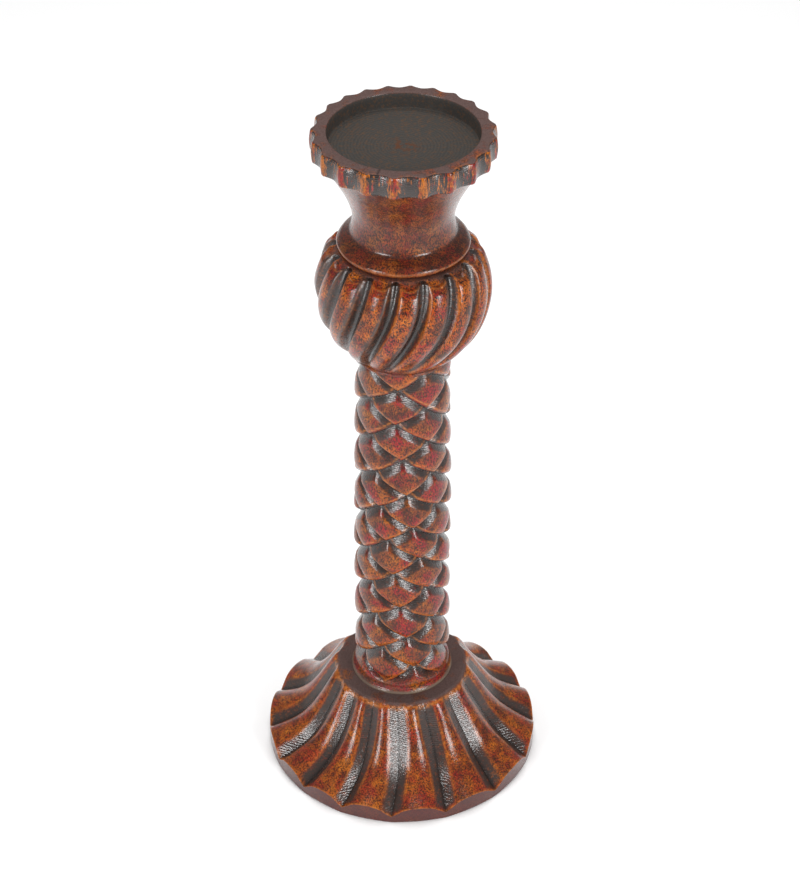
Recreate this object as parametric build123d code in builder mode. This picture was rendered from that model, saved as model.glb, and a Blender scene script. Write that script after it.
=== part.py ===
"""A carved and turned wooden candlestick for a pillar candle.

Four carved pieces stand on each other: base, column, bulb and candle cup.
Each joint is a plain face with a glued beech dowel through its middle.
Millimetres, +Z up. The origin is the middle of the base's underside.
The front of the candlestick looks along -Y.
"""

import os
from math import cos, radians, sin, sqrt

from build123d import *

os.makedirs("parts", exist_ok=True)

# Base: a turned foot whose skirt is carved into lobes with grooves between them
base_diameter = 117.0
base_height = 40.5
rim_band_height = 3.5
seat_diameter = 54.8
skirt_sweep = 1.65
lobe_count = 16
lobe_top_relief = 2.2
lobe_rim_relief = 6.3
lobe_waver = 3.2
lobe_turn = -91.2

# Column: a spindle carved with crossing spiral grooves into rows of diamonds
column_length = 165.0
column_foot_diameter = 41.0
column_top_diameter = 38.8
foot_band_diameter = 43.4
foot_band_height = 6.5
groove_pitch = 76.6
rising_grooves = 4
falling_grooves = 5
rising_floor_radius = 17.3
falling_floor_radius = 17.9
ledge_height = 2.6
rising_bevel_height = 11.5
falling_bevel_height = 9.0
crossing_height = 163.0
crossing_angle = -92.0

# Bulb: a collar and a ball carved with swirling gadroons
collar_diameter = 39.6
collar_height = 1.5
ball_radius = 34.5
ball_centre_rise = 29.0
ball_height = 47.5
gadroon_count = 16
gadroon_share = 0.6
gadroon_groove_depth = 3.0
gadroon_crown = 0.7
gadroon_swirl = 37.0
gadroon_angle = -73.7
ball_sections = 20

# Candle cup: a shoulder, a waisted neck and a fluted rim around the candle's recess
shoulder_diameter = 51.8
shoulder_lip = 1.4
shoulder_height = 6.5
neck_foot_diameter = 41.0
neck_diameter = 39.4
neck_rise = 13.0
throat_diameter = 60.0
cup_height = 50.5
rim_diameter = 71.2
rim_height = 9.5
rim_crown = 0.5
recess_diameter = 57.9
recess_depth = 6.5
flute_count = 22
flute_width = 8.6
flute_depth = 2.4
flute_waver = 5.5

# Dowels, their bores and the glue's room
dowel_diameter = 12.0
dowel_chamfer = 1.0
glue_gap = 0.1
end_gap = 1.0
base_dowel_length = 44.0
column_dowel_length = 40.0
cup_dowel_length = 32.0

# Heights of the joints
column_foot = base_height
column_top = column_foot + column_length
ball_bottom = column_top + collar_height
bulb_top = ball_bottom + ball_height
cup_top = bulb_top + cup_height

bore_radius = dowel_diameter / 2 + glue_gap
standing = (Align.CENTER, Align.CENTER, Align.MIN)


def at(radius, angle):
    """The point of a level outline at a radius and an angle in degrees from +X."""
    return (radius * cos(radians(angle)), radius * sin(radians(angle)))


def lobe_angle(index):
    """The angle of a skirt groove: the carver's spacing wavers twice in a turn."""
    even = 360 * index / lobe_count
    return even + lobe_turn - lobe_waver * cos(radians(2 * even))


def skirt_radii(share):
    """The groove's and the crown's radius at a share of the skirt's height."""
    seat_radius = seat_diameter / 2
    fall = 1 - share
    groove = seat_radius + (base_diameter / 2 - seat_radius) * fall**skirt_sweep
    crown = groove + lobe_top_relief + lobe_rim_relief * fall**3
    return groove, crown


def ball_radius_at(height):
    """The ball's radius at a height above the column."""
    return sqrt(ball_radius**2 - (height - ball_centre_rise - collar_height) ** 2)


def bore(joint_height, length, sign):
    """A dowel bore of half a dowel and its end gap, up or down from a joint."""
    depth = length / 2 + end_gap
    with Locations((0, 0, joint_height + min(0, sign * depth))):
        Cylinder(bore_radius, depth, align=standing, mode=Mode.SUBTRACT)


# Base: lobed sections lofted up the skirt, trimmed by the turned rim
skirt_levels = (0.0, 0.13, 0.27, 0.42, 0.6, 0.8, 1.0)
skirt_height = base_height - rim_band_height
with BuildPart() as base:
    for share in skirt_levels:
        groove_radius, crown_radius = skirt_radii(share)
        with BuildSketch(Plane.XY.offset(rim_band_height + share * skirt_height)):
            with BuildLine():
                for i in range(lobe_count):
                    start = lobe_angle(i)
                    end = lobe_angle(i + 1)
                    ThreePointArc(
                        at(groove_radius, start),
                        at(crown_radius, (start + end) / 2),
                        at(groove_radius, end),
                    )
            make_face()
    loft()
    with Locations((0, 0, rim_band_height)):
        Cylinder(base_diameter / 2, skirt_height, align=standing, mode=Mode.INTERSECT)
    Cylinder(base_diameter / 2, rim_band_height, align=standing)
    bore(base_height, base_dowel_length, -1)
base.part.label = "base"
export_step(base.part, "parts/base.step")


def spiral_groove(floor_radius, bevel_height, lefthand):
    """One groove's cutter: a steep ledge above its floor and a rounded bevel below."""
    start = column_foot - 2 * ledge_height
    outside = foot_band_diameter / 2
    middle = (floor_radius + outside) / 2
    with BuildPart() as groove:
        with BuildLine() as path:
            Helix(
                pitch=groove_pitch,
                height=column_length + 2 * bevel_height,
                radius=floor_radius,
                center=(0, 0, start),
                lefthand=lefthand,
            )
        with BuildSketch(Plane.XZ):
            with BuildLine():
                floor = (floor_radius, start)
                upper = (outside, start + ledge_height)
                lower = (outside, start - bevel_height)
                Line(floor, upper)
                Line(upper, lower)
                ThreePointArc(lower, (middle + 0.4, start - 0.36 * bevel_height), floor)
            make_face()
        sweep(path=path.wire(), is_frenet=True)
    return groove.part


def start_angle(hand):
    """Where a groove starts so that it passes the front crossing."""
    start = column_foot - 2 * ledge_height
    return crossing_angle - hand * 360 * (crossing_height - start) / groove_pitch


# Column: a slightly tapered spindle, carved, on a plain foot band
rising_cutter = spiral_groove(rising_floor_radius, rising_bevel_height, False)
falling_cutter = spiral_groove(falling_floor_radius, falling_bevel_height, True)
with BuildPart() as column:
    with BuildSketch(Plane.XZ):
        with BuildLine():
            Polyline(
                (0, column_foot),
                (column_foot_diameter / 2, column_foot),
                (column_top_diameter / 2, column_top),
                (0, column_top),
                close=True,
            )
        make_face()
    revolve(axis=Axis.Z)
    with PolarLocations(0, falling_grooves, start_angle=start_angle(-1)):
        add(falling_cutter, mode=Mode.SUBTRACT)
    with PolarLocations(0, rising_grooves, start_angle=start_angle(1)):
        add(rising_cutter, mode=Mode.SUBTRACT)
    with Locations((0, 0, column_foot)):
        Cylinder(foot_band_diameter / 2, foot_band_height, align=standing)
    bore(column_foot, base_dowel_length, 1)
    bore(column_top, column_dowel_length, -1)
column.part.label = "column"
export_step(column.part, "parts/column.step")


def gadroon_outline(radius, depth, turn):
    """One level of the ball: crowned gadroons with hollow grooves between them."""
    pitch = 360 / gadroon_count
    half_lobe = gadroon_share * pitch / 2
    for i in range(gadroon_count):
        middle = turn + i * pitch
        next_start = middle + pitch - half_lobe
        ThreePointArc(
            at(radius, middle - half_lobe),
            at(radius + gadroon_crown, middle),
            at(radius, middle + half_lobe),
        )
        ThreePointArc(
            at(radius, middle + half_lobe),
            at(radius - depth, middle + pitch / 2),
            at(radius, next_start),
        )


# Bulb: swirling sections lofted up the ball, on a plain turned collar
with BuildPart() as bulb:
    for level in range(ball_sections + 1):
        share = level / ball_sections
        rise = collar_height + share * ball_height
        radius = ball_radius_at(rise) - gadroon_crown
        depth = gadroon_groove_depth * sqrt(sin(radians(30 + 120 * share)))
        turn = gadroon_angle - gadroon_swirl * (1 - share) ** 1.8
        with BuildSketch(Plane.XY.offset(column_top + rise)):
            with BuildLine():
                gadroon_outline(radius, depth, turn)
            make_face()
    loft()
    with Locations((0, 0, column_top)):
        Cylinder(collar_diameter / 2, collar_height, align=standing)
    bore(column_top, column_dowel_length, 1)
    bore(bulb_top, cup_dowel_length, -1)
bulb.part.label = "bulb"
export_step(bulb.part, "parts/bulb.step")

# Candle cup: turned shoulder, neck and rim, with a recess for the candle's foot
with BuildPart() as candle_cup:
    with BuildSketch(Plane.XZ):
        with BuildLine():
            lip_radius = shoulder_diameter / 2
            neck_foot = (neck_foot_diameter / 2, bulb_top + shoulder_height)
            neck = (neck_diameter / 2, bulb_top + neck_rise)
            throat = (throat_diameter / 2, cup_top - rim_height - 0.5)
            rim_low = (rim_diameter / 2 - rim_crown, cup_top - rim_height)
            rim_top = (rim_diameter / 2 - rim_crown, cup_top)
            recess_floor = cup_top - recess_depth
            Line((0, bulb_top), (lip_radius - shoulder_lip, bulb_top))
            Line((lip_radius - shoulder_lip, bulb_top), (lip_radius, bulb_top + shoulder_lip))
            Line((lip_radius, bulb_top + shoulder_lip), neck_foot)
            Spline(neck_foot, neck, throat, tangents=((-0.3, 1), (1, 1)))
            Line(throat, rim_low)
            ThreePointArc(rim_low, (rim_diameter / 2, cup_top - rim_height / 2), rim_top)
            Line(rim_top, (recess_diameter / 2, cup_top))
            Line((recess_diameter / 2, cup_top), (recess_diameter / 2, recess_floor))
            Line((recess_diameter / 2, recess_floor), (0, recess_floor))
            Line((0, recess_floor), (0, bulb_top))
        make_face()
    revolve(axis=Axis.Z)
    # Upright flutes around the rim, a little closer together at the back
    half_width = flute_width / 2
    flute_radius = (half_width**2 + flute_depth**2) / (2 * flute_depth)
    flute_axis = rim_diameter / 2 - flute_depth + flute_radius
    for i in range(flute_count):
        even = 360 * i / flute_count
        with BuildSketch(Plane.XY.offset(cup_top)):
            with Locations(at(flute_axis, even - 87 + flute_waver * sin(radians(even)))):
                Circle(flute_radius)
        extrude(amount=-rim_height, mode=Mode.SUBTRACT)
    bore(bulb_top, cup_dowel_length, 1)
candle_cup.part.label = "candle_cup"
export_step(candle_cup.part, "parts/candle_cup.step")

# Dowels: chamfered pins, each centred on its joint
dowels = (
    ("base_dowel", column_foot, base_dowel_length),
    ("column_dowel", column_top, column_dowel_length),
    ("cup_dowel", bulb_top, cup_dowel_length),
)
for name, joint_height, length in dowels:
    with BuildPart() as dowel:
        with Locations((0, 0, joint_height)):
            Cylinder(dowel_diameter / 2, length)
        ends = dowel.edges().filter_by(GeomType.CIRCLE)
        chamfer(ends, dowel_chamfer)
    dowel.part.label = name
    export_step(dowel.part, f"parts/{name}.step")
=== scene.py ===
# %% [markdown]
# A carved candlestick, finished around its fixed frame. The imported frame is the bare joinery: four turned
# and carved pieces and three hidden dowels, in metres, standing on the floor at z = 0. It already has the
# right sizes, so it is loaded first and never changed. The looks are built around it, piece by piece.

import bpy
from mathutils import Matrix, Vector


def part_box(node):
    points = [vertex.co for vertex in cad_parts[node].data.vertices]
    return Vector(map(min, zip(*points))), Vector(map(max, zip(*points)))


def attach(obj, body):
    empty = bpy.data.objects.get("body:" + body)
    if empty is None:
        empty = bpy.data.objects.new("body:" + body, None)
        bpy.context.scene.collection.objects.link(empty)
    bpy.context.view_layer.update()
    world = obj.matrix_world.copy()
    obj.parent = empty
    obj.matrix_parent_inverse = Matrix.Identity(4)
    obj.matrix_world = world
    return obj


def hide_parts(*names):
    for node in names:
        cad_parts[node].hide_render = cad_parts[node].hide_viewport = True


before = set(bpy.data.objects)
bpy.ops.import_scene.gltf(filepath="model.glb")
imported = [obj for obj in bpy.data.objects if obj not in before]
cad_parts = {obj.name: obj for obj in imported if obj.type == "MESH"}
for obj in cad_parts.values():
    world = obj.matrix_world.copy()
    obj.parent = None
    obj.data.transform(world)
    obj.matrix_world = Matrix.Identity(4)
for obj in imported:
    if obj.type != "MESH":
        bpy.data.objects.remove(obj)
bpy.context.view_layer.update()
print("nodes:", sorted(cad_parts))

# %% Tools for the lesson
from math import radians, sqrt

import bpy
import numpy as np
from mathutils import Vector, noise

mm = 0.001
foot_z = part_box("column")[0].z
column_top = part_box("column")[1].z
bulb_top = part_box("bulb")[1].z
cup_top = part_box("candle_cup")[1].z
base_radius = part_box("base")[1].x
print("joints at", [round(z / mm, 1) for z in (foot_z, column_top, bulb_top, cup_top)], "mm")

# %% [markdown]
# Every piece starts on the lathe, and a lathe only knows an outline: a line of radii and heights. A maker
# draws it with a few points and a steady hand. Here a smooth line is led through those few points and cut
# into short even steps, because the carving that follows needs many small faces to bite into.


# %% A smooth outline through a few points
def smooth_line(points, steps):
    """A rounded line through given (radius, height) points in mm, cut into even steps, in metres."""
    spots = [points[0], *points, points[-1]]
    line = []
    for a, b, c, d in zip(spots, spots[1:], spots[2:], spots[3:]):
        a, b, c, d = (np.array(p, float) for p in (a, b, c, d))
        for t in np.linspace(0, 1, 24, endpoint=False):
            straight = (c - a) * t / 2
            bend = (2 * a - 5 * b + 4 * c - d) * t**2 / 2
            twist = (3 * b - a - 3 * c + d) * t**3 / 2
            line.append(b + straight + bend + twist)
    line = np.array([*line, points[-1]]) * mm
    length = np.concatenate([[0], np.cumsum(np.linalg.norm(np.diff(line, axis=0), axis=1))])
    even = np.linspace(0, length[-1], steps + 1)
    return np.stack([np.interp(even, length, line[:, 0]), np.interp(even, length, line[:, 1])], axis=1)


# %% [markdown]
# On a real lathe the wood spins against the tool. The same form grows here from one ring of points: the
# ring is extruded step by step up the outline and scaled to each radius, and its two ends are drawn
# together on the axis, so that the blank is one closed skin. Spin would make the same shape but leave a
# seam where it closes.


# %% Turn a blank from its outline
def turn(name, outline, around):
    """A closed turned blank: outline is a list of (radius, height) in metres, from the bottom to the top."""
    bpy.ops.object.select_all(action="DESELECT")
    radius, height = outline[0]
    bpy.ops.mesh.primitive_circle_add(vertices=around, radius=radius, location=(0, 0, 0))
    blank = bpy.context.object
    blank.name = name
    bpy.ops.object.mode_set(mode="EDIT")
    bpy.ops.mesh.select_mode(type="VERT")
    bpy.ops.mesh.select_all(action="SELECT")
    bpy.ops.transform.translate(value=(0, 0, height))
    for next_radius, next_height in outline[1:]:
        bpy.ops.mesh.extrude_region_move(TRANSFORM_OT_translate={"value": (0, 0, next_height - height)})
        scale = next_radius / radius
        bpy.ops.transform.resize(value=(scale, scale, 1), center_override=(0, 0, next_height))
        radius, height = next_radius, next_height
    # The last ring is drawn to a point on the axis, and then the first, which is the only open edge left
    bpy.ops.mesh.merge(type="CENTER")
    bpy.ops.mesh.select_all(action="DESELECT")
    bpy.ops.mesh.select_non_manifold()
    bpy.ops.mesh.merge(type="CENTER")
    bpy.ops.mesh.select_all(action="SELECT")
    bpy.ops.mesh.normals_make_consistent(inside=False)
    bpy.ops.object.mode_set(mode="OBJECT")
    return blank


# %% [markdown]
# Carving takes wood away from the turned blank. The computer's gouge is a rule that moves each point of the
# skin: it is told the point's angle, radius and height, and gives back where the point lies after the cut.
# The same rule also notes how far down in a groove a point lies and how near to a sharp worn edge, because
# the stain and the wear follow the carving on the real piece, and where shade and light are painted in: in
# the creases, on the bulb's gadroons and on some edges.


# %% Carve a blank
def spots_of(piece):
    """Each point of a mesh as its angle around the axis, its radius and its height."""
    flat = np.zeros(len(piece.data.vertices) * 3)
    piece.data.vertices.foreach_get("co", flat)
    x, y, z = flat.reshape(-1, 3).T
    return np.arctan2(y, x), np.hypot(x, y), z


def place(piece, angle, radius, height):
    """Puts the points of a mesh where the carving left them."""
    flat = np.stack([radius * np.cos(angle), radius * np.sin(angle), height], axis=1)
    piece.data.vertices.foreach_set("co", flat.ravel())
    piece.data.update()


def note(piece, **marks):
    """Keeps a value from 0 to 1 on every point, for the finish to follow."""
    for name, values in marks.items():
        layer = piece.data.attributes.new(name, "FLOAT", "POINT")
        layer.data.foreach_set("value", np.clip(values, 0, 1).astype(np.float32))


def ease(low, high, values):
    """A soft step: 0 below low, 1 above high, and a smooth rise between."""
    t = np.clip((np.asarray(values, float) - low) / (high - low), 0, 1)
    return t * t * (3 - 2 * t)


def hump(middle, width, values):
    """A soft bump of height 1 around a middle value."""
    return np.exp(-(((np.asarray(values, float) - middle) / width) ** 2))


def unevenness(angle, radius, height, size, seed):
    """Slow unevenness of hand work, from -1 to 1, over patches about as large as size."""
    points = zip(radius * np.cos(angle) / size, radius * np.sin(angle) / size, height / size + seed)
    return np.array([noise.noise(Vector(p)) for p in points])


# %% [markdown]
# The base is a turned bell foot. Its skirt sweeps out from a small flat seat to a plain upright band at the
# rim, and the carver has cut sixteen grooves down it, which leave plump lobes between them. Two outlines
# say it all: one along the crown of a lobe and one along the floor of a groove. Across a lobe the surface
# is a low arch, and where it meets the upright band the arches draw a row of scallops.

# %% The base's blank
lobe_count = 16
steps_per_lobe = 30
skirt_steps = 110
scallop_top, scallop_foot = 8.2, 3.4
crown_line = smooth_line(
    [
        *((58.5, scallop_top), (52.4, 11.6), (46.6, 15.6), (41.8, 20.6), (37.8, 26.2)),
        *((34.6, 31.6), (31.9, 36.4), (29.6, 39.4), (27.0, 40.5)),
    ],
    skirt_steps,
)
groove_line = smooth_line(
    [
        *((58.5, scallop_foot), (53.4, 6.6), (48.0, 10.0), (43.6, 13.8), (39.6, 18.8)),
        *((35.8, 24.6), (32.6, 30.0), (29.7, 35.6), (28.0, 39.2), (27.0, 40.5)),
    ],
    skirt_steps,
)
rim_band = [(base_radius, z * mm) for z in (0.7, 1.8, 3.0, 4.2, 5.4, 6.6, 7.6, 7.95)]
underside = [(r * mm, 0.0) for r in (1, 20, 40, 54, 57.2)] + [(58.1 * mm, 0.15 * mm)]
seat = [(r * mm, foot_z) for r in (26.6, 25, 23, 21, 14, 6, 1)]
base = turn("carved_base", [*underside, *rim_band, *crown_line, *seat], lobe_count * steps_per_lobe)
print("base blank:", len(base.data.vertices), "points")

# %% [markdown]
# The carver steps the lobes off by eye, so their spacing wavers a little, the same way as in the frame. A
# lobe is arched over its crown and falls in two flatter cuts to the groove, with a soft edge between crown
# and cut.


# %% Carve the skirt's lobes
lobe_start = -91.2
lobe_waver = 3.2
band_top = 8.1 * mm


def carve_skirt(piece):
    """Arches the skirt over each lobe, scallops the band, and notes grooves, edges and flat parts."""
    angle, radius, height = spots_of(piece)
    turn_angle = np.degrees(angle)
    across = (turn_angle / (360 / lobe_count)) % 1
    side = np.abs(2 * across - 1)
    carved = turn_angle + lobe_start - lobe_waver * np.cos(np.radians(2 * turn_angle))
    share = np.linspace(0, 1, len(crown_line))
    on_skirt = (height > band_top) & (radius > 26.9 * mm)
    along = np.interp(height, crown_line[:, 1], share)
    cut_radius = np.interp(along, share, groove_line[:, 0])
    cut_height = np.interp(along, share, groove_line[:, 1])
    arris = 0.58 - 0.2 * ease(0.1, 0.85, along) * (height > band_top)
    crown_fall = 0.28 * np.minimum(side / arris, 1) ** 2.2
    cut_fall = 0.72 * np.clip((side - arris) / (1 - arris), 0, 1) ** 0.95
    arch = crown_fall + cut_fall
    on_band = (height < band_top) & (height > 0.3 * mm) & (radius > 58.3 * mm)
    new_radius = np.where(on_skirt, radius + arch * (cut_radius - radius), radius)
    new_height = np.where(on_skirt, height + arch * (cut_height - height), height)
    edge_height = 1 - arch * (scallop_top - scallop_foot) / scallop_top
    new_height = np.where(on_band, height * edge_height, new_height)
    bend = 2.5 * np.sin(np.pi * along) * on_skirt
    rough = unevenness(angle, new_radius, new_height, 9 * mm, 3)
    new_radius += 0.28 * mm * rough * on_skirt * np.sin(np.pi * along) ** 0.5
    place(piece, np.radians(carved + bend), new_radius, new_height)
    top_ring = ease(0.955, 0.985, along) * (height > 30 * mm)
    rim_edge = hump(0.0, 0.012, along) * on_skirt
    ring_edge = 0.8 * hump(0.95, 0.025, along) * on_skirt
    arris_line = hump(arris, 0.05, side) * on_skirt * ease(0.05, 0.2, along) * (1 - ease(0.85, 0.95, along))
    # Painted shade: the seat darkens at the front, next to the column's foot
    front_foot_shade = hump(-90, 55, carved) * (1 - ease(24.2 * mm, 26.4 * mm, radius)) * (height > 40 * mm)
    note(
        piece,
        groove=ease(arris - 0.02, arris + 0.14, side) * on_skirt * ease(0.0, 0.06, along) * (1 - top_ring),
        # Painted shade on the groove floors and by the column's foot
        deep=np.maximum(ease(0.86, 1.0, side) * on_skirt * (1 - top_ring), 0.8 * front_foot_shade),
        band=((height < band_top) & (radius > 10 * mm)).astype(float),
        edge=np.maximum(np.maximum(0.7 * rim_edge, ring_edge), 0.5 * arris_line),
        plain=top_ring,
    )


carve_skirt(base)
print("skirt carved into", lobe_count, "lobes")

# %% [markdown]
# The column is covered by rows of diamonds. Four grooves climb one way around it and five fall the other
# way, and what they leave between them are bosses like overlapping scales: two sloping cuts at the top, a
# full belly, and a sharp lip along the lower edge. On the computer one diamond is modelled once as a small
# square patch. Each copy is then wrapped onto its place in the lattice, so the mesh runs along the grooves
# and keeps every edge crisp.

# %% The lattice of grooves
rising_count, falling_count = 4, 5
turn_per_mm = 360 / 76.6
crossing_z, crossing_rising, crossing_falling = 163.0, -92.9, -91.4
patch_steps = 28
groove_floor, belly_radius, belly_taper = 17.3, 20.45, 1.0
# The top row sits this many degrees further round than the lattice would put it
top_row_shift = 14.5


def lattice_point(rising, falling):
    """The angle in degrees and the height in mm where two groove lines of those numbers cross."""
    rise = crossing_falling - crossing_rising + 360 * (falling / falling_count - rising / rising_count)
    height = crossing_z + rise / (2 * turn_per_mm)
    angle = crossing_rising + 360 * rising / rising_count + turn_per_mm * (height - crossing_z)
    return angle, height


def scale_profile(x):
    """A boss from its upper groove (0) to its lower groove (1): a cut, a belly and a steep lip."""
    return np.interp(
        x,
        [0, 0.04, 0.12, 0.23, 0.36, 0.52, 0.68, 0.78, 0.86, 0.91, 0.95, 0.975, 1],
        [0, 0.11, 0.39, 0.72, 0.87, 0.97, 1, 0.97, 0.88, 0.76, 0.52, 0.25, 0],
    )


# %% The square patch for one diamond
def crowd(t):
    """Draws the steps of one side of the patch closer together near its groove and its lip."""
    return np.interp(t, [0, 0.1, 0.4, 0.68, 1], [0, 0.035, 0.36, 0.82, 1])


bpy.ops.object.select_all(action="DESELECT")
bpy.ops.mesh.primitive_grid_add(
    x_subdivisions=patch_steps,
    y_subdivisions=patch_steps,
    size=1,
    location=(0, 0, 0),
)
patch = bpy.context.object
patch_points = np.zeros(len(patch.data.vertices) * 3)
patch.data.vertices.foreach_get("co", patch_points)
patch_u = crowd(patch_points.reshape(-1, 3)[:, 0] + 0.5)
patch_v = 1 - crowd(1 - (patch_points.reshape(-1, 3)[:, 1] + 0.5))
print("patch:", len(patch.data.vertices), "points")


# %% Wrap the patch onto a cell of the lattice
def wrap_diamond(rising, falling):
    """A copy of the patch, wrapped onto its cell of the lattice and raised into a boss."""
    angle, height = lattice_point(rising + patch_u, falling + patch_v)
    copy = patch.copy()
    copy.data = patch.data.copy()
    bpy.context.collection.objects.link(copy)
    wobble = np.radians(angle)
    angle = angle + 1.3 * np.sin(wobble + 0.09 * height) + 0.9 * np.sin(2 * wobble - 0.05 * height + 1)
    angle = angle + top_row_shift * ease(181, 199, height)
    height = height + 0.45 * np.sin(3 * wobble + 0.11 * height)
    one, other = scale_profile(patch_u), scale_profile(1 - patch_v)
    relief = 0.65 * np.minimum(one, other) + 0.35 * one * other
    fade = ease(44.5, 48.5, height)
    tip = belly_radius - belly_taper * ease(120, 199, height)
    carved = groove_floor + (tip - groove_floor) * relief
    band = np.interp(height, [40.5, 41.2, 41.8, 43.5, 46], [21.7, 21.7, 20.9, 20.5, belly_radius])
    radius = band + fade * (carved - band)
    place(copy, np.radians(angle), radius * mm, height * mm)
    upper = np.minimum(patch_u, 1 - patch_v)
    lower = np.minimum(1 - patch_u, patch_v)
    wedge = 1 - ease(0.04, 0.14, np.abs(patch_u - (1 - patch_v)))
    bevel = (1 - ease(0.17, 0.25, upper)) * (1 - 0.75 * wedge * ease(0.05, 0.16, upper))
    lip_edge = 0.75 * hump(0.13, 0.03, lower)
    bevel_edge = 0.3 * hump(0.25, 0.02, upper) * (lower > 0.3)
    note(
        copy,
        groove=np.maximum(bevel, 1 - ease(0.02, 0.09, lower)) * fade,
        edge=np.maximum(lip_edge, bevel_edge) * fade,
        # Painted shade along the bottoms of the grooves
        deep=np.maximum(1 - ease(0.0, 0.06, upper), 1 - ease(0.0, 0.045, lower)) * fade,
        # An amber tint along the belly just above each lip
        glow=hump(0.2, 0.09, lower) * fade,
        plain=0.3 * (1 - fade),
        foot_line=1 - ease(41.3, 41.9, height),
    )
    return copy


# %% Lay the whole lattice
most_rows = 60
diamonds = []
for rising in range(rising_count):
    for falling in range(-most_rows, most_rows):
        corners = [lattice_point(rising + a, falling + b)[1] for a in (0, 1) for b in (0, 1)]
        if max(corners) > foot_z / mm - 1 and min(corners) < column_top / mm + 1:
            diamonds.append(wrap_diamond(rising, falling))
bpy.data.objects.remove(patch)
print("diamonds laid:", len(diamonds))

# %% Join the diamonds and trim both ends into one closed skin
# A point counts as on a trimming plane only within fine_cut, so each lid stays flat and meets its own rim
fine_cut = 0.001 * mm
bpy.ops.object.select_all(action="DESELECT")
for diamond in diamonds:
    diamond.select_set(True)
bpy.context.view_layer.objects.active = diamonds[0]
bpy.ops.object.join()
column = bpy.context.object
column.name = "carved_column"
bpy.ops.object.mode_set(mode="EDIT")
bpy.ops.mesh.select_all(action="SELECT")
bpy.ops.mesh.remove_doubles(threshold=0.02 * mm)
for end, cut_below in ((foot_z, True), (column_top, False)):
    bpy.ops.mesh.select_all(action="SELECT")
    bpy.ops.mesh.bisect(
        plane_co=(0, 0, end),
        plane_no=(0, 0, 1),
        clear_inner=cut_below,
        clear_outer=not cut_below,
        use_fill=True,
        threshold=fine_cut,
    )
bpy.ops.mesh.select_all(action="SELECT")
bpy.ops.mesh.normals_make_consistent(inside=False)
bpy.ops.object.mode_set(mode="OBJECT")
print("column:", len(column.data.polygons), "faces")

# %% [markdown]
# The bulb is a ball on a plain collar. Its gadroons, the long swelling lobes, run straight near the top and
# swirl to one side as they come down to the collar. Each has a crisp edge on both sides, and a broad hollow
# groove lies between two of them. At the top they stop at a narrow shelf under the cup's shoulder.

# %% The bulb's blank
gadroon_count = 16
steps_per_gadroon = 26
ball_bottom = bulb_top - 47.5 * mm
ball_centre = ball_bottom + 29 * mm
ball_radius = 34.6 * mm
gadroon_start, gadroon_swirl = -73.7, 37
collar = [(1, 0), (10, 0), (18, 0), (19.1, 0), (19.6, 0.3), (19.7, 0.8), (19.5, 1.3), (19.0, 1.6)]
ball_heights = np.linspace(-28.6, 17.9, 104) * mm
ball = [(sqrt(ball_radius**2 - z**2), ball_centre + z) for z in ball_heights]
shelf_edge = [(29.3, -0.35), (28.9, -0.15), (28.3, -0.1), (27.6, -0.05)]
shelf = [*shelf_edge, *((r, 0) for r in (26.9, 26.2, 25.4, 24.5, 12, 1))]
bulb_outline = [
    *((r * mm, column_top + z * mm) for r, z in collar),
    *ball,
    *((r * mm, bulb_top + z * mm) for r, z in shelf),
]
bulb = turn("gadrooned_bulb", bulb_outline, gadroon_count * steps_per_gadroon)
print("bulb blank:", len(bulb.data.vertices), "points")


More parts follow.
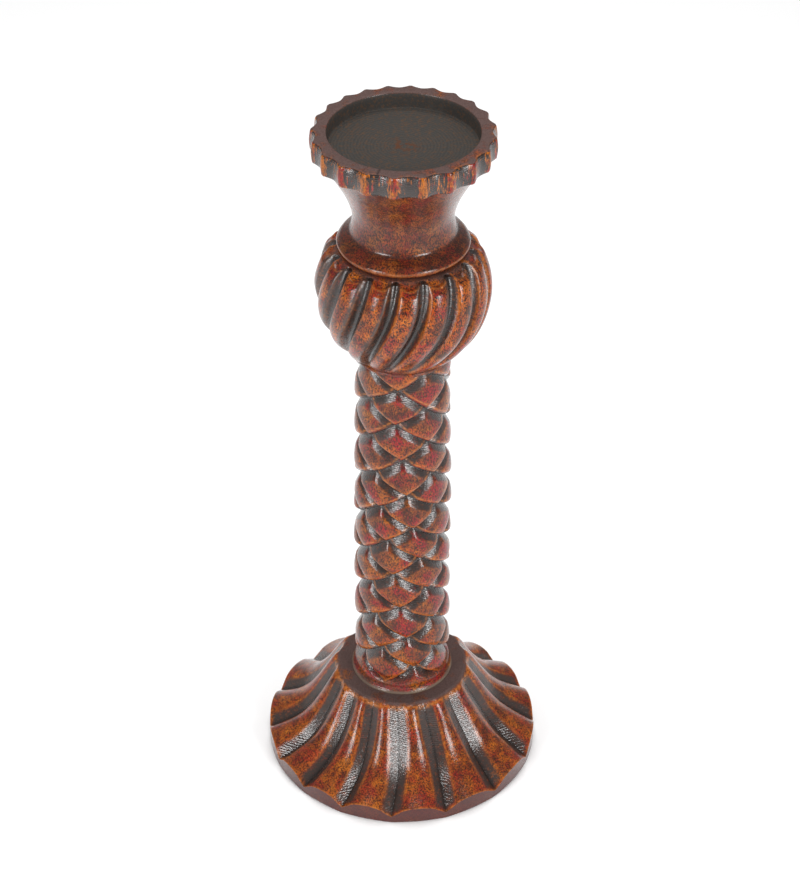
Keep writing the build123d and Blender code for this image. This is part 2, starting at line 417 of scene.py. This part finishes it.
# %% Carve the gadroons
def carve_bulb(piece):
    """Cuts and swirls the hollows, lowers the gadroons' top ends, and notes grooves and edges."""
    angle, radius, height = spots_of(piece)
    turn_angle = np.degrees(angle)
    across = (turn_angle / (360 / gadroon_count)) % 1
    side = np.abs(2 * across - 1)
    share = np.clip((height - ball_bottom) / (bulb_top - ball_bottom), 0, 1)
    lobe_half = 0.6
    crown_fall = 0.75 * mm
    crown = crown_fall * (side / lobe_half) ** 2
    hollow = np.clip((side - lobe_half) / (1 - lobe_half), 0, 1)
    depth = 3.3 * mm * np.sin(np.pi * (0.13 + 0.72 * share)) ** 0.7
    cut = np.where(side < lobe_half, crown, crown_fall + depth * np.sin(np.pi / 2 * hollow) ** 0.7)
    on_ball = ease(0.0, 0.06, share) * (height > ball_bottom - 0.2 * mm)
    on_top = ease(25.2 * mm, 28.2 * mm, radius)
    where = on_ball * np.where(height > ball_centre, on_top, 1)
    rough = unevenness(angle, radius, height, 10 * mm, 11)
    new_radius = radius - cut * where + 0.25 * mm * rough * where
    carved = turn_angle + gadroon_start - gadroon_swirl * (1 - share) ** 1.8
    lid = np.clip(1 - (side / 0.62) ** 2, 0, 1)
    near_shelf = ease(24.8 * mm, 28.6 * mm, radius) * ease(bulb_top - 5 * mm, bulb_top, height)
    lowered = near_shelf * (0.8 + 1.5 * lid) * mm
    place(piece, np.radians(carved), new_radius, height - lowered)
    # Painted shade darkens each gadroon's right flank; on the left only the hollow takes the glaze
    right_side = (across > 0.5) & (side < 0.75)
    flank_shade_and_glaze = np.where(right_side, ease(0.22, 0.52, side) * 0.95, ease(0.64, 0.72, side))
    # Worn orange on the gadroons' edges, with painted light making each left edge brighter than the right
    crisp = hump(0.6, 0.045, side) * np.where(right_side, 0.25, 0.75)
    shelf_part = (height > bulb_top - 0.5 * mm) & (radius < 29.1 * mm)
    # Painted highlight along the top edge of each gadroon, under the shelf
    lid_edge = 0.6 * hump(bulb_top - 0.45 * mm, 0.35 * mm, height) * (side < 0.62) * (radius > 28.5 * mm)
    note(
        piece,
        groove=flank_shade_and_glaze * where,
        # Painted shade on the floors of the hollows
        deep=ease(0.8, 1.0, side) * where,
        # Painted light: the left flank of each gadroon is lit amber
        glow=hump(0.5, 0.16, side) * (across < 0.5) * where,
        edge=np.maximum(crisp, lid_edge) * where,
        plain=np.maximum(0.6 * (1 - on_ball), 0.6 * shelf_part * (1 - ease(26.3 * mm, 27.2 * mm, radius))),
    )


carve_bulb(bulb)
print("bulb carved into", gadroon_count, "gadroons")

# %% [markdown]
# The candle cup is one turned piece: a small shoulder that overhangs the bulb, a waisted neck, and a wide
# flat rim with a shallow recess for a pillar candle. Twenty-two short flutes are scooped out around the
# rim. They sit a little wider apart at the front than at the back, as a carver who closes the ring by eye
# leaves them.

# %% The cup's blank
flute_count = 22
steps_per_flute = 20
under = [(1, 0), (12, 0), (23.2, 0), (24.2, 0.5), (25.2, 1.2), (25.8, 2.1), (25.9, 2.9)]
neck = smooth_line(
    [(25.6, 3.5), (24.4, 4.9), (23.0, 5.9), (21.9, 6.7), (21.1, 7.3)],
    14,
)
waist = smooth_line(
    [
        *((20.7, 7.7), (20.2, 9.6), (19.75, 12.6), (19.75, 15.8), (20.6, 19.6)),
        *((22.2, 24.0), (24.4, 28.6), (27.2, 33.6), (29.7, 37.8), (31.2, 40.2)),
    ],
    56,
)
rim_under = [(31.8, 40.7), (32.6, 40.95), (33.6, 41.15), (34.5, 41.35), (35.0, 41.6), (35.2, 42.0)]
rim_side = [
    *((35.35, 43.0), (35.5, 44.5), (35.55, 46.0), (35.45, 47.5)),
    *((35.3, 48.8), (35.15, 49.6), (34.9, 50.1), (34.5, 50.42)),
]
rim_top = [(34.0, 50.5), (33.2, 50.5), (32.0, 50.5), (30.6, 50.5), (29.7, 50.48), (29.2, 50.3)]
recess = [(28.95, 49.9), (28.9, 48.6), (28.85, 46.8), (28.8, 45.2), (28.6, 44.3), (28.1, 44.0)]
floor = [(r, 44.0 - 0.3 * (1 - (r / 28.1) ** 2)) for r in (27, 25.5, 23, 20, 17, 14, 11, 8, 5, 2.5, 0.8)]


def from_shoulder(points):
    """Points in mm above the shoulder's foot, as radii and heights in metres."""
    return [(r * mm, bulb_top + z * mm) for r, z in points]


neck_points = [(r, bulb_top + z) for r, z in [*neck, *waist]]
cup_outline = [
    *from_shoulder(under),
    *neck_points,
    *from_shoulder(rim_under),
    *from_shoulder(rim_side),
    *from_shoulder(rim_top),
    *from_shoulder(recess),
    *from_shoulder(floor),
]
cup = turn("fluted_cup", cup_outline, flute_count * steps_per_flute)
print("cup blank:", len(cup.data.vertices), "points")


# %% Scoop the flutes
flute_depth = 1.6 * mm
flute_start, flute_waver = -87, 5.5


def carve_cup(piece):
    """Scoops the flutes around the rim and notes the recess, the flat rim, its worn edges, the painted
    highlight on the shoulder's lip and the painted shade in the neck's crease.
    """
    angle, radius, height = spots_of(piece)
    turn_angle = np.degrees(angle)
    across = (turn_angle / (360 / flute_count) + 0.5) % 1
    side = np.abs(2 * across - 1)
    scoop = np.clip(1 - (side / 0.9) ** 1.7, 0, 1)
    high = height > bulb_top + 40.4 * mm
    reach = ease(31.6 * mm, 34.9 * mm, radius) * high
    new_radius = radius - flute_depth * scoop * reach
    carved = turn_angle + flute_start + flute_waver * np.sin(np.radians(turn_angle))
    rough = unevenness(angle, radius, height, 12 * mm, 23)
    new_radius += 0.15 * mm * rough * (radius > 10 * mm)
    place(piece, np.radians(carved), new_radius, height)
    in_rim = high & (radius > 33.4 * mm)
    side_wall = in_rim & (height < cup_top - 0.2 * mm)
    top_face = high & (height > cup_top - 0.3 * mm) & (radius > 28 * mm)
    hollow = (radius < 29.15 * mm) & (height > bulb_top + 43 * mm)
    # Painted shade: a dark line along the crease at the foot of the neck
    neck_crease_shade = 0.6 * hump(bulb_top + 7.5 * mm, 0.35 * mm, height)
    rim_edge = 0.7 * in_rim * hump(cup_top - 0.1 * mm, 0.25 * mm, height) * (radius > 33.5 * mm)
    # Painted highlight: a light line along the shoulder's lip
    lip_edge = 0.5 * hump(25.9 * mm, 0.2 * mm, radius) * (height < bulb_top + 3 * mm)
    note(
        piece,
        groove=np.where(side_wall, 1 - ease(0.45, 0.85, side), neck_crease_shade),
        streak=side_wall * (0.12 + 0.88 * ease(0.3, 0.95, side)),
        edge=np.maximum(rim_edge, lip_edge),
        plain=np.where(top_face, 1, 0),
        soot=hollow.astype(float),
        scar=hollow * (1 - ease(3.5 * mm, 7 * mm, radius)),
        crack=hump(-107, 0.6, carved) * high * (radius > 28.5 * mm),
    )


carve_cup(cup)
print("cup carved with", flute_count, "flutes")

# %% [markdown]
# Smooth shading belongs on the swelling faces, but a sharp cut has to stay sharp, so edges where the skin
# turns by more than a set angle are kept hard.

# %% Shade and hand the pieces to the frame
carved_pieces = (
    (base, "base", "base_lacquer"),
    (column, "column", "column_lacquer"),
    (bulb, "bulb", "bulb_lacquer"),
    (cup, "candle_cup", "cup_lacquer"),
)
for piece, node_name, slot_name in carved_pieces:
    bpy.ops.object.select_all(action="DESELECT")
    piece.select_set(True)
    bpy.context.view_layer.objects.active = piece
    bpy.ops.object.shade_smooth_by_angle(angle=radians(38))
    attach(piece, "root")
    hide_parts(node_name)
    triangles = sum(len(face.vertices) - 2 for face in piece.data.polygons)
    print(piece.name, triangles, "triangles")

# %% [markdown]
# The finish is an aged lacquer, built up in coats. An orange-brown ground shows through a dark glaze that
# has crackled into fine black specks, with crimson clouds in it. The glaze lies thick and dark in the cuts,
# painted shade makes their floors nearly black, and the sharp edges are worn back to a warm orange, with a
# painted highlight on some of them. The bulb's gadroons have painted light on their left sides and painted
# shade on their right flanks. One recipe makes all four finishes, each with its own balance.


# %% Nodes with few words
def fresh_material(name):
    """An empty material with its shader and the place on the object in millimetres."""
    material = bpy.data.materials.new(name)
    material.use_nodes = True
    tree = material.node_tree
    shader = tree.nodes["Principled BSDF"]
    place_node = tree.nodes.new("ShaderNodeTexCoord")
    scale_node = tree.nodes.new("ShaderNodeMapping")
    scale_node.inputs["Scale"].default_value = (1000, 1000, 1000)
    tree.links.new(place_node.outputs["Object"], scale_node.inputs["Vector"])
    return material, tree, shader, scale_node.outputs["Vector"]


def speckle(tree, where, per_mm, detail, roughness, distortion=0.0, stretch=None):
    """A noise pattern with so many features to a millimetre, drawn out along one axis if asked."""
    if stretch:
        mapping = tree.nodes.new("ShaderNodeMapping")
        mapping.inputs["Scale"].default_value = stretch
        tree.links.new(where, mapping.inputs["Vector"])
        where = mapping.outputs["Vector"]
    texture = tree.nodes.new("ShaderNodeTexNoise")
    texture.inputs["Scale"].default_value = per_mm
    texture.inputs["Detail"].default_value = detail
    texture.inputs["Roughness"].default_value = roughness
    texture.inputs["Distortion"].default_value = distortion
    tree.links.new(where, texture.inputs["Vector"])
    return texture.outputs["Fac"]


def ramp(tree, factor, stops):
    """Colours or greys set along a factor."""
    node = tree.nodes.new("ShaderNodeValToRGB")
    colours = node.color_ramp.elements
    while len(colours) < len(stops):
        colours.new(0.5)
    for element, (position, colour) in zip(colours, stops):
        element.position = position
        element.color = (*colour, 1) if isinstance(colour, tuple) else (colour, colour, colour, 1)
    tree.links.new(factor, node.inputs["Fac"])
    return node.outputs["Color"]


def mix(tree, factor, below, above):
    """Lays one colour over another by a factor, which is a number or a pattern."""
    node = tree.nodes.new("ShaderNodeMix")
    node.data_type = "RGBA"
    for socket, value in ((node.inputs[0], factor), (node.inputs[6], below), (node.inputs[7], above)):
        if isinstance(value, bpy.types.NodeSocket):
            tree.links.new(value, socket)
        else:
            socket.default_value = (*value, 1) if isinstance(value, tuple) else value
    return node.outputs[2]


def calc(tree, operation, a, b):
    """One step of arithmetic on patterns, kept between 0 and 1."""
    node = tree.nodes.new("ShaderNodeMath")
    node.operation = operation
    node.use_clamp = True
    for socket, value in ((node.inputs[0], a), (node.inputs[1], b)):
        if isinstance(value, bpy.types.NodeSocket):
            tree.links.new(value, socket)
        else:
            socket.default_value = value
    return node.outputs["Value"]


def mark(tree, name):
    """A value that the carving noted on the mesh."""
    node = tree.nodes.new("ShaderNodeAttribute")
    node.attribute_name = name
    return node.outputs["Fac"]


# %% The ground: orange-brown clouds, crimson clouds and fine black crackle
dark_brown = (0.052, 0.012, 0.005)
crimson_stain = (0.27, 0.006, 0.010)
# Amber for the painted light on the gadroons and for the tint above the column's lips
glowing_amber = (0.42, 0.085, 0.005)
black_crackle = (0.017, 0.008, 0.005)


def clouded_ground(tree, where, warm, crimson, speck):
    """The colour under the glaze, with the patterns of its clouds and of its specks."""
    clouds = speckle(tree, where, 0.16, 6, 0.62)
    ground = ramp(
        tree,
        clouds,
        [
            (0.31, dark_brown),
            (0.42, (0.165 * warm + 0.02, 0.030 * warm, 0.005)),
            (0.52, (0.36 * warm, 0.070 * warm, 0.005)),
            (0.68, (0.58 * warm, 0.16 * warm, 0.008)),
        ],
    )
    red_clouds = ramp(tree, speckle(tree, where, 0.11, 3, 0.5), [(0.47, 0.0), (0.60, crimson)])
    ground = mix(tree, red_clouds, ground, crimson_stain)
    # Painted light on the bulb's gadroons, and an amber tint above the column's lips
    glow = calc(tree, "MULTIPLY", mark(tree, "glow"), ramp(tree, clouds, [(0.42, 0.0), (0.58, 0.7)]))
    ground = mix(tree, glow, ground, glowing_amber)
    specks = ramp(tree, speckle(tree, where, 1.9, 2, 0.6, 0.7, (1, 1, 0.6)), [(0.485, 0.0), (0.53, speck)])
    ground = mix(tree, specks, ground, black_crackle)
    glints = ramp(tree, speckle(tree, where, 1.9, 2, 0.6, 0.6, (1, 1, 0.5)), [(0.60, 0.0), (0.66, 0.45)])
    ground = mix(tree, glints, ground, (0.62 * warm, 0.20 * warm, 0.010))
    return ground, clouds, specks


# %% Glaze in the cuts, painted crease shade, and wear and painted highlights on the edges
# Near-black for the painted shade in the creases
crease_shade_black = (0.008, 0.005, 0.004)
band_brown = (0.060, 0.016, 0.015)
# Worn orange, also used for the painted highlights on some edges
worn_and_highlight_orange = (0.46, 0.14, 0.022)


def glaze_and_wear(tree, where, ground, glaze):
    """Dark glaze in the grooves and on the base's band, painted shade on the groove floors and the
    bulb's right flanks, and edges worn back to orange, some with a painted highlight.
    """
    ragged = ramp(tree, speckle(tree, where, 0.6, 4, 0.7), [(0.34, 0.55), (0.5, 1.0)])
    # On the bulb the groove mark also carries the painted shade of the right flanks
    in_groove = calc(tree, "MULTIPLY", mark(tree, "groove"), ragged)
    colour = mix(tree, in_groove, ground, (0.026 * glaze, 0.016 * glaze, 0.013 * glaze))
    # Painted shade: the groove floors and creases, and the seat by the column's foot, go nearly black
    colour = mix(tree, calc(tree, "MULTIPLY", mark(tree, "deep"), 0.85), colour, crease_shade_black)
    colour = mix(tree, calc(tree, "MULTIPLY", mark(tree, "band"), 0.85), colour, band_brown)
    # Edges take worn orange; on the bulb's lobe tops and left edges and on the cup's lip it is a painted
    # highlight
    rub_and_highlight_breakup = ramp(tree, speckle(tree, where, 0.8, 4, 0.65), [(0.40, 0.1), (0.58, 1.0)])
    edge_wear_and_highlight = calc(tree, "MULTIPLY", mark(tree, "edge"), rub_and_highlight_breakup)
    return mix(tree, edge_wear_and_highlight, colour, worn_and_highlight_orange)


# %% Streaks that ran down the rim
rim_black = (0.020, 0.013, 0.011)
rim_crimson = (0.26, 0.014, 0.008)
rim_amber = (0.42, 0.115, 0.007)
rim_crackle = (0.03, 0.012, 0.006)


def streaked_rim(tree, where, colour, clouds, specks):
    """Upright crimson and amber streaks on nearly black flutes."""
    on_rim = ramp(tree, mark(tree, "streak"), [(0.0, 0.0), (0.1, 1.0)])
    colour = mix(tree, on_rim, colour, rim_black)
    run_lines = speckle(tree, where, 1.3, 4, 0.7, 0.5, (1, 1, 0.12))
    reach = calc(tree, "MULTIPLY", mark(tree, "streak"), 0.17)
    runs = ramp(tree, calc(tree, "ADD", run_lines, reach), [(0.58, 0.0), (0.63, 0.95)])
    streaks = mix(tree, ramp(tree, clouds, [(0.44, 0.0), (0.52, 1.0)]), rim_crimson, rim_amber)
    streaks = mix(tree, calc(tree, "MULTIPLY", specks, 0.6), streaks, rim_crackle)
    return mix(tree, calc(tree, "MULTIPLY", on_rim, runs), colour, streaks)


# %% Plain turned faces and the pale line at the column's foot
foot_line_tan = (0.155, 0.112, 0.08)
plain_brown = (0.098, 0.063, 0.057)
plain_dark = (0.076, 0.048, 0.043)


def plain_wood(tree, colour, clouds, specks):
    """Dull grey-brown on the flat turned faces, with the ground showing through in places."""
    colour = mix(tree, mark(tree, "foot_line"), colour, foot_line_tan)
    plain_ground = mix(tree, specks, plain_brown, plain_dark)
    showing = ramp(tree, clouds, [(0.50, 0.0), (0.66, 0.6)])
    plain_worn = calc(tree, "SUBTRACT", mark(tree, "plain"), showing)
    return mix(tree, plain_worn, colour, plain_ground)


# %% Gloss: thick where the glaze pooled, worn off the flat faces
def gloss(tree, where, shader):
    """A clear coat over a soft sheen, gone from the plain faces and the blackened recess."""
    sheen_map = ramp(tree, speckle(tree, where, 0.7, 3, 0.6), [(0.35, 0.3), (0.7, 0.5)])
    rough = calc(tree, "MAXIMUM", sheen_map, calc(tree, "MULTIPLY", mark(tree, "plain"), 0.9))
    tree.links.new(rough, shader.inputs["Roughness"])
    shader.inputs["Specular IOR Level"].default_value = 0.06
    shader.inputs["Coat Roughness"].default_value = 0.16
    dull = calc(tree, "MAXIMUM", mark(tree, "soot"), mark(tree, "plain"))
    tree.links.new(ramp(tree, dull, [(0.0, 0.95), (1.0, 0.02)]), shader.inputs["Coat Weight"])
    pooled = tree.nodes.new("ShaderNodeMapRange")
    pooled.inputs["To Min"].default_value = 1.44
    pooled.inputs["To Max"].default_value = 1.62
    tree.links.new(mark(tree, "groove"), pooled.inputs["Value"])
    tree.links.new(pooled.outputs["Result"], shader.inputs["Coat IOR"])


# %% Marks of the tools
def tool_marks(tree, where, shader):
    """Low ripples all over and the gouge's fine cross lines in the grooves."""
    ripple = speckle(tree, where, 1.3, 3, 0.6, 0.4, (1, 1, 0.7))
    hatch = tree.nodes.new("ShaderNodeTexWave")
    hatch.bands_direction = "Z"
    hatch.inputs["Scale"].default_value = 0.4
    hatch.inputs["Distortion"].default_value = 5
    hatch.inputs["Detail"].default_value = 3
    hatch.inputs["Detail Scale"].default_value = 2
    tree.links.new(where, hatch.inputs["Vector"])
    gouge_lines = calc(tree, "MULTIPLY", mark(tree, "groove"), 0.42)
    hatched = calc(tree, "MULTIPLY", hatch.outputs["Fac"], gouge_lines)
    relief = calc(tree, "ADD", calc(tree, "MULTIPLY", ripple, 0.7), hatched)
    bump = tree.nodes.new("ShaderNodeBump")
    bump.inputs["Strength"].default_value = 0.5
    bump.inputs["Distance"].default_value = 0.00025
    tree.links.new(relief, bump.inputs["Height"])
    tree.links.new(bump.outputs["Normal"], shader.inputs["Normal"])
    tree.links.new(bump.outputs["Normal"], shader.inputs["Coat Normal"])


# %% The whole lacquer, once for each carved piece
def lacquer(name, warm, crimson, speck, glaze, grain_seed):
    """Aged lacquer: how orange, crimson and crackled, and how light its glaze; the seed shifts its grain."""
    material, tree, shader, centred = fresh_material(name)
    drift = tree.nodes.new("ShaderNodeMapping")
    drift.inputs["Location"].default_value = (grain_seed, grain_seed * 0.7, 0)
    tree.links.new(centred, drift.inputs["Vector"])
    where = drift.outputs["Vector"]
    ground, clouds, specks = clouded_ground(tree, where, warm, crimson, speck)
    colour = glaze_and_wear(tree, where, ground, glaze)
    colour = streaked_rim(tree, where, colour, clouds, specks)
    colour = plain_wood(tree, colour, clouds, specks)
    tree.links.new(colour, shader.inputs["Base Color"])
    gloss(tree, where, shader)
    tool_marks(tree, where, shader)
    return material, tree, shader, centred, where, colour


finishes = {}
for slot_name, warm, crimson, speck, glaze, seed in (
    ("base_lacquer", 0.72, 0.5, 0.88, 1.3, 5.0),
    ("column_lacquer", 0.62, 1.0, 0.88, 1.0, 41.0),
    ("bulb_lacquer", 0.95, 0.75, 0.95, 1.0, 77.0),
    ("cup_lacquer", 0.46, 0.28, 0.92, 1.0, 113.0),
):
    finishes[slot_name] = lacquer(slot_name, warm, crimson, speck, glaze, seed)
print("finishes:", sorted(finishes))

# %% [markdown]
# The recess is blackened and matt, with fine rings from the turning tool and a brown rub here and there.

# %% Blacken the recess
_, tree, shader, centred, where, colour = finishes["cup_lacquer"]
rings = tree.nodes.new("ShaderNodeTexWave")
rings.wave_type = "RINGS"
rings.rings_direction = "Z"
rings.inputs["Scale"].default_value = 0.25
rings.inputs["Distortion"].default_value = 4
rings.inputs["Detail"].default_value = 3
tree.links.new(centred, rings.inputs["Vector"])
char = ramp(tree, rings.outputs["Fac"], [(0.2, (0.043, 0.040, 0.037)), (0.9, (0.051, 0.047, 0.043))])
rub = ramp(tree, speckle(tree, where, 0.9, 5, 0.75), [(0.50, 0.0), (0.64, 0.7)])
char = mix(tree, rub, char, (0.10, 0.052, 0.028))
scars = ramp(tree, speckle(tree, where, 0.42, 3, 0.6), [(0.52, 0.0), (0.58, 0.9)])
char = mix(tree, calc(tree, "MULTIPLY", mark(tree, "scar"), scars), char, (0.085, 0.035, 0.018))
colour = mix(tree, calc(tree, "MULTIPLY", mark(tree, "crack"), 0.8), colour, (0.012, 0.008, 0.007))
tree.links.new(mix(tree, mark(tree, "soot"), colour, char), shader.inputs["Base Color"])
print("recess blackened")

# %% Put the finishes on
for piece, _, slot_name in carved_pieces:
    piece.data.materials.clear()
    piece.data.materials.append(finishes[slot_name][0])
    print(piece.name, "finished in", slot_name)

# %% [markdown]
# The dowels never show once the joints are glued, so the frame's own chamfered pins stay. They are raw
# beech: a pale pinkish wood with short dark flecks along the grain.

# %% Beech for the dowels
beech, tree, shader, where = fresh_material("dowel_beech")
along_grain = speckle(tree, where, 0.9, 4, 0.6, 0.3, (1, 1, 0.08))
grain = ramp(tree, along_grain, [(0.3, (0.50, 0.33, 0.19)), (0.7, (0.66, 0.48, 0.31))])
flecks = ramp(tree, speckle(tree, where, 2.5, 2, 0.5, 0.0, (1, 1, 0.25)), [(0.62, 0.0), (0.7, 0.6)])
tree.links.new(mix(tree, flecks, grain, (0.34, 0.19, 0.10)), shader.inputs["Base Color"])
shader.inputs["Roughness"].default_value = 0.7
for dowel in ("base_dowel", "column_dowel", "cup_dowel"):
    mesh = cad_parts[dowel].data
    mesh.materials.clear()
    mesh.materials.append(beech)
print("dowels in beech")

# %% [markdown]
# The stage is a plain pale floor under an even sky, with large soft lights: one above, one at the left
# front and one at the right. They give the broad pale reflections that a glossy lacquer needs to read as
# glossy.

# %% Floor and light
bpy.ops.object.select_all(action="DESELECT")
bpy.ops.mesh.primitive_plane_add(size=12, location=(0, 0, 0))
floor_plane = bpy.context.object
floor_plane.name = "floor"
floor_material = bpy.data.materials.new("pale_floor")
floor_material.use_nodes = True
floor_shader = floor_material.node_tree.nodes["Principled BSDF"]
floor_shader.inputs["Base Color"].default_value = (0.92, 0.92, 0.92, 1)
floor_shader.inputs["Roughness"].default_value = 0.9
floor_plane.data.materials.append(floor_material)


def soft_light(name, spot, aim, width, height, watts):
    """A studio light box at a spot, turned to face an aim."""
    light = bpy.data.lights.new(name, "AREA")
    light.shape = "RECTANGLE"
    light.size = width
    light.size_y = height
    light.energy = watts
    lamp = bpy.data.objects.new(name, light)
    lamp.location = spot
    lamp.rotation_euler = (Vector(aim) - Vector(spot)).to_track_quat("-Z", "Y").to_euler()
    bpy.context.scene.collection.objects.link(lamp)


middle = (0, 0, cup_top / 2)
soft_light("left_light", (-1.25, -1.35, 0.7), middle, 0.6, 0.8, 21)
soft_light("right_light", (1.2, -1.4, 0.7), middle, 0.6, 0.8, 24)
soft_light("top_light", (0.0, 0.3, 1.6), middle, 0.9, 0.9, 20)
world = bpy.data.worlds.new("studio")
bpy.context.scene.world = world
world.use_nodes = True
sky = world.node_tree.nodes["Background"]
sky.inputs["Color"].default_value = (1, 1, 1, 1)
sky.inputs["Strength"].default_value = 0.3
bpy.context.scene.view_settings.view_transform = "Standard"

# %% [markdown]
# The camera stands about a metre from the middle of the candlestick and looks down steeply, so the recess
# shows as an open ellipse and the base's lobes fan out below.

# %% Camera
camera_data = bpy.data.cameras.new("camera")
camera_data.lens = 101.4
camera_data.sensor_width = 36
camera_data.shift_x = -0.003
camera = bpy.data.objects.new("camera", camera_data)
camera.location = (0, -0.8156, 0.7730)
camera.rotation_euler = (radians(53.0), 0, 0)
camera.rotation_euler.rotate_axis("Z", radians(0.2))
bpy.context.scene.collection.objects.link(camera)
bpy.context.scene.camera = camera
print("camera at", tuple(round(c, 3) for c in camera.location))
